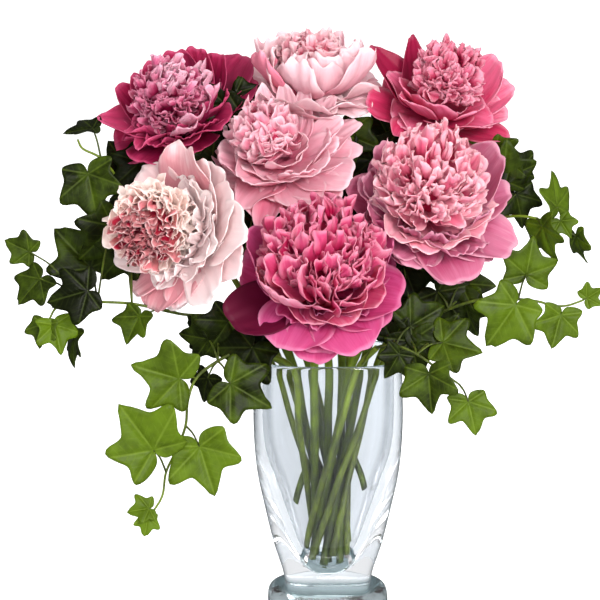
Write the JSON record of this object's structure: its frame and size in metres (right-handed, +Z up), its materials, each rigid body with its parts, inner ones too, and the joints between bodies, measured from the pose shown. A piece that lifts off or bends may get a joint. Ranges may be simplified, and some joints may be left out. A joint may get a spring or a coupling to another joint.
{
  "type": "peonies in a vase",
  "caption": "Bouquet of double bomb peonies in pinks and blush white, with trailing ivy, in a tall clear glass vase of rounded square section on a block foot.",
  "frame": {"origin": "centre of the underside of the vase's foot", "axes": "+Z up; -Y is the front, the side that the lowest bloom hangs over; +X to the right seen from the front"},
  "size_m": [0.4561, 0.2306, 0.4604],
  "materials": {
    "clear_glass": "polished",
    "flower_stem": "satin",
    "ivy_runner": "satin",
    "ivy_leaf": "satin",
    "petal_magenta": "matte",
    "petal_pale_pink": "matte",
    "petal_light_pink": "matte",
    "petal_mid_pink": "matte",
    "petal_rose_pink": "matte",
    "petal_hot_pink": "matte",
    "petal_blush_white": "matte"
  },
  "bodies": {
    "root": {"vase": "clear_glass", "peony_stem_1": "flower_stem", "guard_petals_1": "petal_magenta", "heart_petals_1": "petal_magenta", "peony_stem_2": "flower_stem", "guard_petals_2": "petal_pale_pink", "heart_petals_2": "petal_pale_pink", "peony_stem_3": "flower_stem", "guard_petals_3": "petal_light_pink", "heart_petals_3": "petal_light_pink", "peony_stem_4": "flower_stem", "guard_petals_4": "petal_mid_pink", "heart_petals_4": "petal_mid_pink", "peony_stem_5": "flower_stem", "guard_petals_5": "petal_rose_pink", "heart_petals_5": "petal_rose_pink", "peony_stem_6": "flower_stem", "guard_petals_6": "petal_hot_pink", "heart_petals_6": "petal_hot_pink", "peony_stem_7": "flower_stem", "guard_petals_7": "petal_blush_white", "heart_petals_7": "petal_blush_white", "ivy_spray_left_upper": "ivy_runner", "ivy_leaf_left_upper_1": "ivy_leaf", "ivy_leaf_left_upper_2": "ivy_leaf", "ivy_leaf_left_upper_3": "ivy_leaf", "ivy_spray_left_middle": "ivy_runner", "ivy_leaf_left_middle_1": "ivy_leaf", "ivy_leaf_left_middle_2": "ivy_leaf", "ivy_leaf_left_middle_3": "ivy_leaf", "ivy_leaf_left_middle_4": "ivy_leaf", "ivy_spray_left_trailing": "ivy_runner", "ivy_leaf_left_trailing_1": "ivy_leaf", "ivy_leaf_left_trailing_2": "ivy_leaf", "ivy_leaf_left_trailing_3": "ivy_leaf", "ivy_leaf_left_trailing_4": "ivy_leaf", "ivy_leaf_left_trailing_5": "ivy_leaf", "ivy_spray_right_upper": "ivy_runner", "ivy_leaf_right_upper_1": "ivy_leaf", "ivy_leaf_right_upper_2": "ivy_leaf", "ivy_spray_right_middle": "ivy_runner", "ivy_leaf_right_middle_1": "ivy_leaf", "ivy_leaf_right_middle_2": "ivy_leaf", "ivy_leaf_right_middle_3": "ivy_leaf", "ivy_leaf_right_middle_4": "ivy_leaf", "ivy_spray_right_low": "ivy_runner", "ivy_leaf_right_low_1": "ivy_leaf", "ivy_leaf_right_low_2": "ivy_leaf", "ivy_leaf_right_low_3": "ivy_leaf", "ivy_leaf_right_low_4": "ivy_leaf", "ivy_spray_back_right": "ivy_runner", "ivy_leaf_back_right_1": "ivy_leaf", "ivy_leaf_back_right_2": "ivy_leaf", "ivy_leaf_back_right_3": "ivy_leaf", "ivy_leaf_back_right_4": "ivy_leaf", "ivy_spray_back_left": "ivy_runner", "ivy_leaf_back_left_1": "ivy_leaf", "ivy_leaf_back_left_2": "ivy_leaf", "ivy_leaf_back_left_3": "ivy_leaf", "ivy_leaf_back_left_4": "ivy_leaf"}
  },
  "joints": []
}
